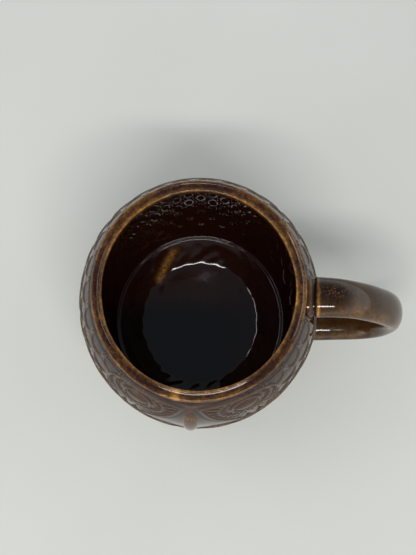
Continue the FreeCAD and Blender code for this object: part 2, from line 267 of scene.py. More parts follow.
def face_relief(angle, z):
    """Height of the face, how much of each place is face, and its owner.

    angle is measured from the middle of the face, at -Y.
    """
    along = angle * FACE_RADIUS
    side = np.abs(along) - DISC_OFFSET
    depth, share_out = leaf_depth(side, z)
    disc = disc_relief(side, z - EYE_HEIGHT, depth, share_out)
    field, in_field = flank_relief(along, z, depth)
    on_disc = smooth_step(depth / 0.5 + 0.5)
    on_field = smooth_step(in_field / 0.6 + 0.5)
    height = field * (1 - on_disc) + disc * on_disc
    disc_owner = np.where(along < 0, LEFT_DISC, RIGHT_DISC)
    owner = np.where(on_disc > 0.5, disc_owner, FLANKS)
    fade = smooth_step((RELIEF_TOP + 0.6 - z) / 1.2)
    return np.clip(height, 0, 1) * fade, np.maximum(on_disc, on_field), owner


def wall_relief(angle, z):
    """Height of all the raised decoration in millimetres and the owner of each place."""
    feathers, feather_owner = feather_relief(angle, z, 0.55)
    face, share, face_owner = face_relief(angle, z)
    height = feathers * (1 - share) + face * share
    owner = np.where(share > 0.5, face_owner, feather_owner)
    uneven = 0.035 * wander(angle * 5 + z * 0.11, angle * 9 - z * 0.17 + 1.3, angle * 2 + z * 0.31)
    return RELIEF * np.clip(height + uneven * (height > 0.02), 0, 1), owner


# ---------------------------------------------------------------- mesh helpers

def softened(values, rounds):
    """The grid with small detail averaged away: columns go round, rows stop at the ends."""
    for _ in range(rounds):
        values = (np.roll(values, 1, 0) + 2 * values + np.roll(values, -1, 0)) / 4
        padded = np.concatenate([values[:, :1], values, values[:, -1:]], 1)
        values = (padded[:, :-2] + 2 * values + padded[:, 2:]) / 4
    return values


def grid_normals(points):
    """Unit normals of a grid whose columns go round and whose rows stop at the ends."""
    around = np.roll(points, -1, 0) - np.roll(points, 1, 0)
    up = np.gradient(points, axis=1)
    normals = np.cross(around, up)
    length = np.linalg.norm(normals, axis=2, keepdims=True)
    return normals / np.maximum(length, 1e-12)


def make_piece(name, points, faces, values, normals=None):
    """A mesh object in metres from points in millimetres, with one number per point for each named value."""
    mesh = bpy.data.meshes.new(name)
    mesh.from_pydata((np.asarray(points) * MM).tolist(), [], [list(face) for face in faces])
    mesh.polygons.foreach_set("use_smooth", [True] * len(mesh.polygons))
    for label, numbers in values.items():
        attribute = mesh.attributes.new(label, "FLOAT", "POINT")
        attribute.data.foreach_set("value", np.asarray(numbers, np.float32).ravel())
    mesh.update()
    if normals is not None:
        mesh.normals_split_custom_set_from_vertices(np.asarray(normals).tolist())
    piece = bpy.data.objects.new(name, mesh)
    bpy.context.scene.collection.objects.link(piece)
    return piece


def finish_piece(piece, material, replaced):
    piece.data.materials.append(material)
    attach(piece, "root")
    if replaced:
        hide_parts(*replaced)
    return piece


def tube_faces(stations, round_count, first=0):
    """Quads of a tube: stations rings of round_count points."""
    ring, point = np.meshgrid(np.arange(stations - 1), np.arange(round_count), indexing="ij")
    beside = (point + 1) % round_count
    a = first + ring * round_count + point
    b = first + ring * round_count + beside
    return np.stack([a, b, b + round_count, a + round_count], -1).reshape(-1, 4)


def fan_faces(first, around, hub):
    """Triangles from a ring of points, given by its first, to the point in its middle."""
    return [[first + i, first + (i + 1) % around, hub] for i in range(around)]


def reversed_faces(faces):
    return [face[::-1] for face in faces]


def make_lathe(name, radii, heights, values):
    """A closed solid of revolution. radii and heights are grids of columns by stations, from the axis
    underneath, round the outside, to the axis on top. The first and last stations are single points."""
    columns, stations = radii.shape
    angles = np.arange(columns) * 2 * math.pi / columns
    ring_x = radii * np.cos(angles)[:, None]
    ring_y = radii * np.sin(angles)[:, None] * OVAL
    points = np.stack([ring_x, ring_y, heights], -1).transpose(1, 0, 2)[1:-1].reshape(-1, 3)
    faces = tube_faces(stations - 2, columns).tolist()
    bottom = len(points)
    faces += reversed_faces(fan_faces(0, columns, bottom))
    faces += fan_faces((stations - 3) * columns, columns, bottom + 1)
    ends = np.array([[0, 0, heights[0, 0]], [0, 0, heights[0, -1]]])
    points = np.concatenate([points, ends])
    numbers = {}
    for label, grid in values.items():
        middle = grid.T[1:-1].reshape(-1)
        numbers[label] = np.concatenate([middle, [grid[0, 0], grid[0, -1]]])
    return make_piece(name, points, faces, numbers)


def make_patch(name, outer, inner, cells, normals, values):
    """A closed skin over some cells of a grid: the outer face, the inner face and the sides between."""
    columns, rows = outer.shape[:2]
    column, row = np.nonzero(cells)
    beside = (column + 1) % columns
    used = np.zeros((columns, rows), bool)
    for i in (column, beside):
        for j in (row, row + 1):
            used[i, j] = True
    number = np.full((columns, rows), -1)
    number[used] = np.arange(used.sum())
    count = int(used.sum())
    a = number[column, row]
    b = number[beside, row]
    c = number[beside, row + 1]
    d = number[column, row + 1]
    faces = [np.stack([a, b, c, d], 1), np.stack([d, c, b, a], 1) + count]
    below = np.zeros_like(cells)
    below[:, 1:] = cells[:, :-1]
    above = np.zeros_like(cells)
    above[:, :-1] = cells[:, 1:]
    neighbours = [
        (below, a, b),
        (np.roll(cells, -1, 0), b, c),
        (above, c, d),
        (np.roll(cells, 1, 0), d, a),
    ]
    for filled, start, end in neighbours:
        open_edge = ~filled[column, row]
        start = start[open_edge]
        end = end[open_edge]
        faces.append(np.stack([end, start, start + count, end + count], 1))
    points = np.concatenate([outer[used], inner[used]])
    point_normals = np.concatenate([normals[used], -normals[used]])
    numbers = {label: np.concatenate([grid[used], grid[used]]) for label, grid in values.items()}
    return make_piece(name, points, np.concatenate(faces).tolist(), numbers, point_normals)


# ---------------------------------------------------------------- materials

def new_material(name):
    material = bpy.data.materials.new(name)
    material.use_nodes = True
    nodes = material.node_tree.nodes
    nodes.clear()
    output = nodes.new("ShaderNodeOutputMaterial")
    shader = nodes.new("ShaderNodeBsdfPrincipled")
    material.node_tree.links.new(shader.outputs[0], output.inputs[0])
    return material, nodes, material.node_tree.links, shader


def add_noise(nodes, links, coordinates, scale, detail, stretch=(1, 1, 1), distortion=0.0):
    """A noise texture in object space. scale is in cycles per metre."""
    mapping = nodes.new("ShaderNodeMapping")
    mapping.inputs["Scale"].default_value = stretch
    links.new(coordinates, mapping.inputs["Vector"])
    noise = nodes.new("ShaderNodeTexNoise")
    noise.inputs["Scale"].default_value = scale
    noise.inputs["Detail"].default_value = detail
    noise.inputs["Distortion"].default_value = distortion
    links.new(mapping.outputs[0], noise.inputs["Vector"])
    return noise.outputs["Fac"]


def add_math(nodes, links, operation, first, second, third=None, clamp=False):
    step = nodes.new("ShaderNodeMath")
    step.operation = operation
    step.use_clamp = clamp
    for socket, value in zip(step.inputs, (first, second, third)):
        if isinstance(value, (int, float)):
            socket.default_value = value
        elif value is not None:
            links.new(value, socket)
    return step.outputs[0]


def add_ramp(nodes, links, factor, stops):
    ramp = nodes.new("ShaderNodeValToRGB")
    elements = ramp.color_ramp.elements
    while len(elements) < len(stops):
        elements.new(0.5)
    for element, (position, colour) in zip(elements, stops):
        element.position = position
        element.color = (*colour, 1)
    links.new(factor, ramp.inputs[0])
    return ramp.outputs[0]


def add_bump(nodes, links, height, strength, distance, under=None):
    """A bump over the surface, or over the bump given as under. distance is in metres."""
    bump = nodes.new("ShaderNodeBump")
    bump.inputs["Strength"].default_value = strength
    bump.inputs["Distance"].default_value = distance
    links.new(height, bump.inputs["Height"])
    if under is not None:
        links.new(under, bump.inputs["Normal"])
    return bump.outputs[0]


def add_specks(nodes, links, coordinates):
    """Small round specks: above zero in the middle of each."""
    cells = nodes.new("ShaderNodeTexVoronoi")
    cells.inputs["Scale"].default_value = 1150
    links.new(coordinates, cells.inputs["Vector"])
    return add_math(nodes, links, "SUBTRACT", 0.62, cells.outputs["Distance"])


def add_attribute(nodes, label):
    attribute = nodes.new("ShaderNodeAttribute")
    attribute.attribute_name = label
    return attribute.outputs["Fac"]


# The colours of the glaze, from where it lies thick to where it thins on an edge
BLACK_BROWN = (0.006, 0.0022, 0.0015)
OXBLOOD = (0.022, 0.0048, 0.0028)
DARK_BROWN = (0.034, 0.0105, 0.0042)
BROWN = (0.092, 0.038, 0.0085)
UMBER = (0.020, 0.0072, 0.0032)
OLIVE_BROWN = (0.062, 0.027, 0.0065)
AMBER = (0.24, 0.105, 0.018)
HONEY = (0.42, 0.20, 0.045)
GLAZE_ROUGHNESS = 0.04
GLAZE_IOR = 1.48


def make_glaze(name, stops, mottle, streak=0.0, wave=0.10):
    """A glossy glaze that breaks from dark in the hollows to amber on the edges.

    A value on the mesh says where the glaze thins, from -1 in a hollow to 1 on an edge; on the handle it
    also carries painted light on the strap's front side and painted shade in its groove. Its blotch says
    where amber specks gather.
    """
    material, nodes, links, shader = new_material(name)
    place = nodes.new("ShaderNodeTexCoord").outputs["Object"]
    broad = add_noise(nodes, links, place, 70, 4)
    fine = add_noise(nodes, links, place, 900, 5, distortion=0.4)
    drip = add_noise(nodes, links, place, 260, 3, stretch=(1, 1, 0.16))
    level = add_math(nodes, links, "MULTIPLY_ADD", add_attribute(nodes, "glaze_break_and_painted_light"), 0.5, 0.5)
    for noise, strength in ((broad, mottle), (fine, mottle), (drip, streak)):
        centred = add_math(nodes, links, "SUBTRACT", noise, 0.5)
        part = add_math(nodes, links, "MULTIPLY", centred, strength * 2)
        level = add_math(nodes, links, "ADD", level, part)
    specks = add_specks(nodes, links, place)
    blotch = add_math(nodes, links, "MULTIPLY", specks, add_attribute(nodes, "blotch"))
    level = add_math(nodes, links, "ADD", level, blotch, clamp=True)
    links.new(add_ramp(nodes, links, level, stops), shader.inputs["Base Color"])

    uneven = add_math(nodes, links, "MULTIPLY_ADD", broad, 0.10, GLAZE_ROUGHNESS)
    links.new(uneven, shader.inputs["Roughness"])
    waves = add_bump(nodes, links, add_noise(nodes, links, place, 160, 2), wave, 0.6 * MM)
    pores = add_bump(nodes, links, add_noise(nodes, links, place, 2600, 2), 0.05, 0.08 * MM, waves)
    links.new(pores, shader.inputs["Normal"])
    shader.inputs["IOR"].default_value = GLAZE_IOR
    return material


def make_clay(name):
    """Bare buff clay: speckled, slightly stained and dry."""
    material, nodes, links, shader = new_material(name)
    place = nodes.new("ShaderNodeTexCoord").outputs["Object"]
    broad = add_noise(nodes, links, place, 60, 4)
    grain = add_noise(nodes, links, place, 2200, 6)
    both = add_math(nodes, links, "ADD", broad, add_math(nodes, links, "MULTIPLY", grain, 0.6))
    level = add_math(nodes, links, "MULTIPLY", both, 0.62, clamp=True)
    stops = [
        (0.25, (0.20, 0.12, 0.07)),
        (0.42, (0.42, 0.30, 0.19)),
        (0.75, (0.58, 0.45, 0.31)),
    ]
    links.new(add_ramp(nodes, links, level, stops), shader.inputs["Base Color"])
    links.new(add_math(nodes, links, "MULTIPLY_ADD", grain, 0.2, 0.72), shader.inputs["Roughness"])
    links.new(add_bump(nodes, links, grain, 0.5, 0.15 * MM), shader.inputs["Normal"])
    return material


def make_paper(name):
    """The pale floor: nearly white with a very faint unevenness."""
    material, nodes, links, shader = new_material(name)
    place = nodes.new("ShaderNodeTexCoord").outputs["Object"]
    broad = add_noise(nodes, links, place, 9, 3)
    stops = [(0.3, (0.74, 0.755, 0.72)), (0.7, (0.78, 0.795, 0.76))]
    links.new(add_ramp(nodes, links, broad, stops), shader.inputs["Base Color"])
    shader.inputs["Roughness"].default_value = 0.75
    return material


# ---------------------------------------------------------------- pieces

def coat_grid():
    """The angles and heights of the grid over the raised decoration, finer on the face."""
    face_edge = math.radians(52)
    fine = 0.27 / FACE_RADIUS
    coarse = 0.44 / FACE_RADIUS
    face_angles = np.linspace(-face_edge, face_edge, round(2 * face_edge / fine), endpoint=False)
    rest = 2 * math.pi - 2 * face_edge
    rest_angles = np.linspace(face_edge, face_edge + rest, round(rest / coarse), endpoint=False)
    split = FACE_BOTTOM - 10
    lower = np.linspace(FOOT_HEIGHT, split, 112, endpoint=False)
    upper = np.linspace(split, RELIEF_TOP + 1.0, 132)
    return np.concatenate([face_angles, rest_angles]), np.concatenate([lower, upper])


def tidy_owners(owner):
    """Where two cells of one owner touch only by a corner, gives one of the others to that owner."""
    but_last = slice(None, -1)
    but_first = slice(1, None)
    for _ in range(4):
        for low, high in ((but_last, but_first), (but_first, but_last)):
            beside = np.roll(owner, -1, 0)
            corner = owner[:, low]
            clash = corner == beside[:, high]
            clash = clash & (corner != beside[:, low]) & (corner != owner[:, high])
            owner[:, high][clash] = corner[clash]
    return owner


SKIN_DEPTH = 0.6            # how far the decoration's pieces reach into the wall
VESSEL_GAP = 0.75           # the body's own wall lies this far under the surface there


def make_coat(feather_glaze, face_glaze):
    """Every piece of raised decoration, cut from one displaced grid so that the glaze runs on across it."""
    angles, heights = coat_grid()
    angle, z = np.meshgrid(angles, heights, indexing="ij")
    lift, owner = wall_relief(angle, z)
    outward = np.stack([np.sin(angle), -np.cos(angle) * OVAL], -1)
    outer_radius = wall_radius(z) + lift
    inner_radius = wall_radius(z) - SKIN_DEPTH
    outer = np.concatenate([outward * outer_radius[..., None], z[..., None]], -1)
    inner = np.concatenate([outward * inner_radius[..., None], z[..., None]], -1)
    normals = grid_normals(outer)
    thin = np.clip((lift - softened(lift, 14)) / (0.16 * RELIEF), -1, 1)
    worn = np.clip(0.55 * thin + 0.12 * (lift / RELIEF * 2 - 1) - 0.34, -1, 1)
    values = {"glaze_break_and_painted_light": worn, "blotch": np.zeros_like(worn)}
    cell_owner = tidy_owners(owner[:, :-1].copy())
    cell_owner[cell_owner == BARE_WALL] = 0
    for row in range(ROW_COUNT):
        name = f"feather_row_{row + 1:02d}"
        cells = cell_owner == row
        piece = make_patch(name + "_coat", outer, inner, cells, normals, values)
        finish_piece(piece, feather_glaze, [name])
    for key, side in ((LEFT_DISC, "left"), (RIGHT_DISC, "right")):
        cells = cell_owner == key
        piece = make_patch(side + "_disc_coat", outer, inner, cells, normals, values)
        replaced = [side + "_face_disc", side + "_eye_ring"]
        finish_piece(piece, face_glaze, replaced)
    cells = cell_owner == FLANKS
    piece = make_patch("face_flanks", outer, inner, cells, normals, values)
    finish_piece(piece, face_glaze, [])


def make_eye(side, glaze):
    """A domed eye with a soft rim, sunk a little into the disc."""
    rings = 22
    around = 56
    lean = math.atan2(float(wall_radius(EYE_HEIGHT - 1) - wall_radius(EYE_HEIGHT + 1)), 2)
    turn = side * DISC_OFFSET / FACE_RADIUS
    points = []
    thin = []
    for ring in range(rings):
        share = (ring + 1) / rings
        for i in range(around):
            swing = 2 * math.pi * i / around
            x = EYE_HALF_WIDTH * share * math.cos(swing)
            up = EYE_HALF_HEIGHT * share * math.sin(swing)
            dome = 1.45 * math.sqrt(max(0.0, 1 - share ** 2.4)) - 0.25
            points.append((x, up, dome))
            thin.append(0.2 * (1 - share) + 0.25 * math.cos(swing - 1.2) * share - 0.3)
    count = len(points)
    points.append((0, 0, 1.2))
    thin.append(-0.1)
    points.append((0, 0, -1.2))
    thin.append(0.0)
    faces = tube_faces(rings, around).tolist()
    faces += reversed_faces(fan_faces(0, around, count))
    faces += fan_faces((rings - 1) * around, around, count + 1)
    x, up, out = np.array(points).T
    tilt_up = up * math.cos(lean) + out * math.sin(lean)
    tilt_out = out * math.cos(lean) - up * math.sin(lean)
    radius = wall_radius(EYE_HEIGHT) + tilt_out
    placed_x = x * math.cos(turn) + radius * math.sin(turn)
    placed_y = x * math.sin(turn) - radius * math.cos(turn)
    placed = np.stack([placed_x, placed_y * OVAL, EYE_HEIGHT + tilt_up], -1)
    name = "left" if side < 0 else "right"
    values = {"glaze_break_and_painted_light": thin, "blotch": np.zeros(len(thin))}
    piece = make_piece(name + "_eye_dome", placed, faces, values)
    finish_piece(piece, glaze, [name + "_eye"])


BEAK_HALF_WIDTH = 3.15
BEAK_ROOT = 0.25            # share of the beak's depth that is sunk in the wall


def make_beak(glaze):
    """A narrow ridge that swells down the middle of the face and ends in a point."""
    low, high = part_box("beak")
    bottom = low.z / MM
    top = high.z / MM
    stations = 90
    around = 40
    points = []
    thin = []
    spots = []
    for station in range(stations):
        share = station / (stations - 1)
        z = top + (bottom - top) * share
        swell = math.sin(math.pi * share ** 0.85) ** 0.62
        half_width = max(0.12, 0.4 * (1 - share) + BEAK_HALF_WIDTH * swell * (1 - 0.1 * share))
        stand = max(0.15, 0.5 * (1 - share) + (1.7 + 1.15 * share) * swell ** 0.9)
        half_width = half_width * (1 - share ** 14)
        for i in range(around):
            swing = 2 * math.pi * i / around
            x = half_width * math.sin(swing)
            out = stand * math.cos(swing) * (1.0 if math.cos(swing) > 0 else BEAK_ROOT)
            radius = float(wall_radius(z)) + out
            points.append((x, -radius * OVAL, z))
            thin.append(0.3 * math.cos(swing) + 0.2 * share - 0.15)
            spots.append(0.8 * math.exp(-((share - 0.14) / 0.04) ** 2) * max(0.0, math.cos(swing)))
    count = len(points)
    for z in (top, bottom):
        points.append((0, -float(wall_radius(z)) * OVAL, z))
        thin.append(0.0)
        spots.append(0.0)
    faces = tube_faces(stations, around)[:, ::-1].tolist()
    faces += fan_faces(0, around, count)
    faces += reversed_faces(fan_faces((stations - 1) * around, around, count + 1))
    values = {"glaze_break_and_painted_light": thin, "blotch": spots}
    piece = make_piece("beak_ridge", points, faces, values)
    finish_piece(piece, glaze, ["beak"])


INSIDE_GLAZE = -0.35        # the glaze lies thick inside the cup


def lip_outline():
    """The lip from the neck outside to the neck inside, with how the glaze breaks at each point."""
    bead = 0.7
    outer = RIM_RADIUS
    inner = RIM_RADIUS - LIP_WIDTH
    points = []
    for degrees in np.linspace(0, 118, 12):
        swing = math.radians(degrees)
        radius = outer - bead + bead * math.cos(swing)
        thin = 0.50 - 0.4 * abs(degrees - 60) / 60
        points.append((radius, HEIGHT - bead + bead * math.sin(swing), thin))
    for share in np.linspace(0.12, 0.88, 9):
        middle = math.sin(math.pi * share)
        start = outer - bead * 1.45
        end = inner + bead * 1.45
        radius = start + (end - start) * share
        points.append((radius, HEIGHT - 0.08 - 0.26 * middle, 0.22 - 0.24 * middle))
    for degrees in np.linspace(62, 180, 12):
        swing = math.radians(degrees)
        radius = inner + bead + bead * math.cos(swing)
        thin = 0.62 - 0.35 * abs(degrees - 125) / 60
        points.append((radius, HEIGHT - bead + bead * math.sin(swing), thin))
    return points


def floor_outline(wall_foot):
    """The inside of the bottom, from the wall inwards: a tight corner, a narrow shelf, a slope, a flat."""
    slope_radii = np.linspace(0.4, FLOOR_RADIUS - 1.2, 46)
    edge_radii = np.linspace(FLOOR_RADIUS - 1.0, wall_foot, 40)
    radii = np.concatenate([slope_radii, edge_radii])
    climb = smooth_step((radii - FLOOR_FLAT) / (FLOOR_BEND - FLOOR_FLAT)) * math.tan(FLOOR_SLOPE)
    on_shelf = smooth_step((radii - FLOOR_RADIUS + 0.2) / 0.5)
    climb = climb * (1 - on_shelf) + 0.04 * on_shelf
    corner_start = FLOOR_RADIUS + FLOOR_SHELF
    into_corner = np.clip((radii - corner_start) / (wall_foot - corner_start), 0, 0.999)
    rises = (climb[1:] + climb[:-1]) / 2 * np.diff(radii)
    heights = np.concatenate([[0], np.cumsum(rises)]) + FLOOR_HEIGHT
    corner_height = FLOOR_CURVE_TOP - heights[-1]
    heights = heights + corner_height * (1 - np.sqrt(1 - into_corner ** 2))
    points = list(zip(radii, heights)) + [(wall_foot, FLOOR_CURVE_TOP)]
    return points[::-1] + [(0.0, FLOOR_HEIGHT)]


def vessel_outline():
    """The closed outline of the body: radius, height, glaze break and how much the inside dimples there."""
    stations = [(0.0, FOOT_HEIGHT, -0.2, 0.0)]
    for radius in np.linspace(2, float(wall_radius(FOOT_HEIGHT)) - 1.2, 12):
        stations.append((radius, FOOT_HEIGHT, -0.2, 0.0))
    for z in np.linspace(FOOT_HEIGHT, RELIEF_TOP - 1.0, 30):
        stations.append((float(wall_radius(z)) - VESSEL_GAP, z, -0.2, 0.0))
    for z in np.linspace(RELIEF_TOP - 0.5, HEIGHT - 1.3, 18):
        share = (z - RELIEF_TOP + 0.5) / (HEIGHT - 0.8 - RELIEF_TOP)
        base = float(wall_radius(RELIEF_TOP)) + (RIM_RADIUS - float(wall_radius(RELIEF_TOP))) * share
        stations.append((base, z, -0.25 + 0.7 * share ** 3, 0.0))
    for radius, z, thin in lip_outline():
        stations.append((radius, z, thin, 0.0))
    inner_lip = RIM_RADIUS - LIP_WIDTH
    for z in np.linspace(HEIGHT - 1.4, FLOOR_CURVE_TOP + 0.3, 150):
        inner = float(wall_radius(min(z, RELIEF_TOP))) - WALL
        blend = float(smooth_step((z - RELIEF_TOP + 3) / (HEIGHT - RELIEF_TOP + 1)))
        dimple = float(smooth_step((HEIGHT - 7 - z) / 6) * smooth_step((z - 16) / 8))
        thin = INSIDE_GLAZE + 0.5 * blend ** 3
        stations.append((inner * (1 - blend) + inner_lip * blend, z, thin, dimple))
    for radius, z in floor_outline(float(wall_radius(FLOOR_CURVE_TOP)) - WALL):
        stations.append((radius, z, INSIDE_GLAZE, 0.0))
    return np.array(stations).T


def floor_waves(x, y, radii, angle):
    """Unevenness of the floor: broad ripples, small ones near the edge and a restless bend."""
    ripple = wander(x * 0.31 + y * 0.12, y * 0.37 - x * 0.09 + 1, np.hypot(x + 4, y - 3) * 0.6)
    rough = wander(x * 0.7 + y * 0.4, y * 0.8 - x * 0.5 + 1, x * 0.9 + 2) * smooth_step((radii - 20) / 4)
    bend = bell(radii - FLOOR_BEND, 3.2) * wander(angle * 9, angle * 14 + 1, angle * 25 + radii)
    return FLOOR_RIPPLE * ripple + FLOOR_ROUGHNESS * rough + BEND_WAVE * bend


def amber_run(x, y):
    """A run of thin glaze at the back left of the floor: 1 along its middle, 0 away from it."""
    start = np.array([-19.3, 17.2])
    step = np.array([6.1, 14.2])
    along = np.clip(((x - start[0]) * step[0] + (y - start[1]) * step[1]) / (step @ step), 0, 1)
    return bell(np.hypot(x - start[0] - step[0] * along, y - start[1] - step[1] * along), 2.2)


def lip_glaze(angle, radii):
    """How the glaze breaks along the lip: streaks, broad patches and one bridge across it at the front."""
    streaks = wander(angle * 37 + radii * 0.8, angle * 61 - radii * 2.1 + 1, angle * 23 + radii * 3.3)
    broad = wander(angle * 3 + 0.5, angle * 5 + 2.2, angle * 11 + 1.7)
    bridge = bell((angle - math.radians(261.5)) * RIM_RADIUS, 1.4)
    return 0.20 * streaks + 0.24 * broad, 0.9 * bridge


def make_vessel(glaze):
    """The body: underside, hidden wall behind the relief, neck, lip, dimpled inside and floor."""
    columns = 432
    radius, z, thin, dimple = vessel_outline()
    angles = np.arange(columns) * 2 * math.pi / columns
    angle, height = np.meshgrid(angles, z, indexing="ij")
    dimples = np.cos(TILES_ROUND * angle) * np.cos(math.pi * (height - FIRST_TIP) / ROW_PITCH)
    waves = wander(angle * 5 + height * 0.13, angle * 8 - height * 0.2 + 2, angle * 3 + height * 0.33)
    radii = radius[None, :] + (DIMPLE_DEPTH * dimples + WALL_WAVE * waves) * dimple[None, :]
    lip_share = smooth_step((height - (RELIEF_TOP + 1)) / 2)
    radii = radii + 0.10 * lip_share * wander(angle * 3 + 0.6, angle * 7 + 2.0, angle * 11)
    heights = height - 0.09 * lip_share * (1 + wander(angle * 2 + 1, angle * 5 + 0.4, angle * 13))
    x = radii * np.cos(angle)
    y = radii * np.sin(angle) * OVAL

    inside = (z >= FLOOR_HEIGHT) & (z < FLOOR_CURVE_TOP) & (thin == INSIDE_GLAZE)
    on_floor = smooth_step((FLOOR_RADIUS - radius[None, :]) / 3) * inside[None, :]
    flatter_front = FRONT_FLATTENING * np.clip(-np.sin(angle), 0, 1) ** 4
    heights = heights - flatter_front * (heights - FLOOR_HEIGHT) * on_floor
    heights = heights + floor_waves(x, y, radii, angle) * on_floor * smooth_step(radii / 6)

    lip_break, bridge = lip_glaze(angle, radii)
    run = 1.05 * amber_run(x, y) * on_floor
    thin_grid = np.broadcast_to(thin, radii.shape) + (lip_break + bridge) * lip_share + run
    values = {
        "glaze_break_and_painted_light": np.clip(thin_grid, -1, 1),
        "blotch": np.clip(0.25 * lip_share + 0.3 * run, 0, 1),
    }
    piece = make_lathe("glazed_body", radii, heights, values)
    finish_piece(piece, glaze, ["vessel"])


def make_foot(clay):
    """The bare foot ring, with its bottom edges rubbed round."""
    outer = FOOT_RADIUS
    inner = FOOT_RADIUS - FOOT_WIDTH
    edge = 0.8
    outline = [(outer - 0.1, FOOT_HEIGHT + 0.05), (inner + 0.1, FOOT_HEIGHT + 0.05)]
    for degrees in np.linspace(180, 270, 8):
        swing = math.radians(degrees)
        outline.append((inner + edge + edge * math.cos(swing), edge + edge * math.sin(swing)))
    for degrees in np.linspace(270, 360, 8):
        swing = math.radians(degrees)
        outline.append((outer - edge + edge * math.cos(swing), edge + edge * math.sin(swing)))
    columns = 240
    points = []
    for radius, z in outline:
        for i in range(columns):
            angle = 2 * math.pi * i / columns
            uneven = 0.06 * wander(angle * 9 + z, angle * 23 + 1.0) - 0.06
            points.append(((radius + uneven) * math.cos(angle), (radius + uneven) * math.sin(angle), z))
    faces = tube_faces(len(outline), columns).tolist()
    last = (len(outline) - 1) * columns
    for i in range(columns):
        beside = (i + 1) % columns
        faces.append([last + i, last + beside, beside, i])
    piece = make_piece("bare_foot", points, faces, {"glaze_break_and_painted_light": np.zeros(len(points))})
    finish_piece(piece, clay, ["foot_ring"])


# Handle: the middle line of the strap, its distance from the axis and its height, as in the CAD model
HANDLE_TURN = math.radians(2.2)
HANDLE_LINE = np.array([
    (38.0, 80.2),
    (54.0, 79.4),
    (68.4, 66.5),
    (77.4, 47.5),
    (72.4, 25.0),
    (56.0, 18.6),
    (39.5, 17.4),
])
STRAP_WIDTHS = (15.0, 14.2, 16.8)       # at the upper root, half-way and at the lower root
STRAP_THICKNESS = 8.6
STRAP_ROUNDING = 2.1
ROOT_SPREAD = 0.75
ROOT_FADE = 7.0
GROOVE_AT = 5.0             # along the strap's line, where a groove crosses it outside the upper joint
GROOVE_WIDTH = 0.75
GROOVE_DEPTH = 0.75
COLLAR_LIFT = 0.25          # how far the upper joint stands above the strap
LOWER_COLLAR = 5.2          # length of the lower joint
SPOT_AT = 12.0              # middle of the amber patch, along the strap's line
SPOT_ACROSS = 0.28          # and across it, as a share of its half width


def strap_line(count):
    """Points and directions along a smooth curve through the handle's line, evenly spaced."""
    steps = np.linalg.norm(np.diff(HANDLE_LINE, axis=0), axis=1)
    knots = np.concatenate([[0], np.cumsum(steps)])
    slopes = np.zeros_like(HANDLE_LINE)
    slopes[1:-1] = (HANDLE_LINE[2:] - HANDLE_LINE[:-2]) / (knots[2:] - knots[:-2])[:, None]
    slopes[0] = (1, 0)
    slopes[-1] = (-1, -0.1)
    at = np.linspace(0, knots[-1], count)
    span = np.clip(np.searchsorted(knots, at, side="right") - 1, 0, len(knots) - 2)
    size = knots[span + 1] - knots[span]
    u = ((at - knots[span]) / size)[:, None]
    size = size[:, None]
    points = (
        (2 * u ** 3 - 3 * u ** 2 + 1) * HANDLE_LINE[span]
        + (u ** 3 - 2 * u ** 2 + u) * size * slopes[span]
        + (3 * u ** 2 - 2 * u ** 3) * HANDLE_LINE[span + 1]
        + (u ** 3 - u ** 2) * size * slopes[span + 1]
    )
    directions = np.gradient(points, axis=0)
    directions = directions / np.linalg.norm(directions, axis=1, keepdims=True)
    return points, directions, at


def sweep(name, points, directions, half_widths, half_thicknesses, around, values):
    """A closed strap with rounded-rectangle sections, turned to the handle's angle.

    Its line is given in the XZ plane.
    """
    swing = 2 * math.pi * np.arange(around) / around
    c = np.cos(swing)
    s = np.sin(swing)
    size = (np.abs(c) ** STRAP_ROUNDING + np.abs(s) ** STRAP_ROUNDING) ** (-1 / STRAP_ROUNDING)
    across = half_widths[:, None] * (c * size)[None, :]
    out = half_thicknesses[:, None] * (s * size)[None, :]
    x = points[:, 0][:, None] - directions[:, 1][:, None] * out
    z = points[:, 1][:, None] + directions[:, 0][:, None] * out
    stations = len(points)
    ring = np.stack([x, across, z], -1).reshape(-1, 3)
    ends = np.array([[points[0, 0], 0, points[0, 1]], [points[-1, 0], 0, points[-1, 1]]])
    ring = np.concatenate([ring, ends])
    turned_x = ring[:, 0] * math.cos(HANDLE_TURN) - ring[:, 1] * math.sin(HANDLE_TURN)
    turned_y = ring[:, 0] * math.sin(HANDLE_TURN) + ring[:, 1] * math.cos(HANDLE_TURN)
    placed = np.stack([turned_x, turned_y, ring[:, 2]], -1)
    count = stations * around
    faces = tube_faces(stations, around)[:, ::-1].tolist()
    faces += fan_faces(0, around, count)
    faces += reversed_faces(fan_faces(count - around, around, count + 1))
    numbers = {label: np.concatenate([grid.ravel(), [0, 0]]) for label, grid in values.items()}
    return make_piece(name, placed, faces, numbers)


def strap_glaze(at, around):
    """How the strap is coloured: its glaze breaks pale at its corners, with one patch; its front side is
    paler as painted light, and the groove is dark as painted shade.
    """
    swing = 2 * math.pi * np.arange(around) / around
    corner = np.abs(np.sin(2 * swing))[None, :] ** 3
    # Painted light: the strap's front side, which faces the lamps in front, is painted paler
    front_painted_light = -np.cos(swing)[None, :]
    on_top = np.clip(np.sin(swing), 0, 1)[None, :]
    from_spot = np.cos(swing)[None, :] - SPOT_ACROSS
    halo = bell(at - SPOT_AT - 1, 7.5)[:, None] * bell(from_spot, 0.62) * on_top
    spot = bell(at - SPOT_AT, 4.6)[:, None] * bell(from_spot, 0.34) * on_top
    shoulder = bell(at - GROOVE_AT - 1.6, 0.6)[:, None]
    # Painted shade: the groove across the strap is painted dark, standing in for the shade in it
    groove = bell(at - GROOVE_AT, 0.7)[:, None]
    # The sum holds the glaze's real break at the corners and beside the groove, plus the painted light on
    # the front side and the painted shade in the groove
    thin = 0.10 * corner + 0.22 * front_painted_light - 0.12 - 0.45 * halo + 0.8 * shoulder - 0.8 * groove
    return {"glaze_break_and_painted_light": np.clip(thin, -1, 1), "blotch": spot * 1.5}


def even_glaze(stations, around, thin):
    shape = (stations, around)
    return {"glaze_break_and_painted_light": np.full(shape, thin), "blotch": np.full(shape, thin)}


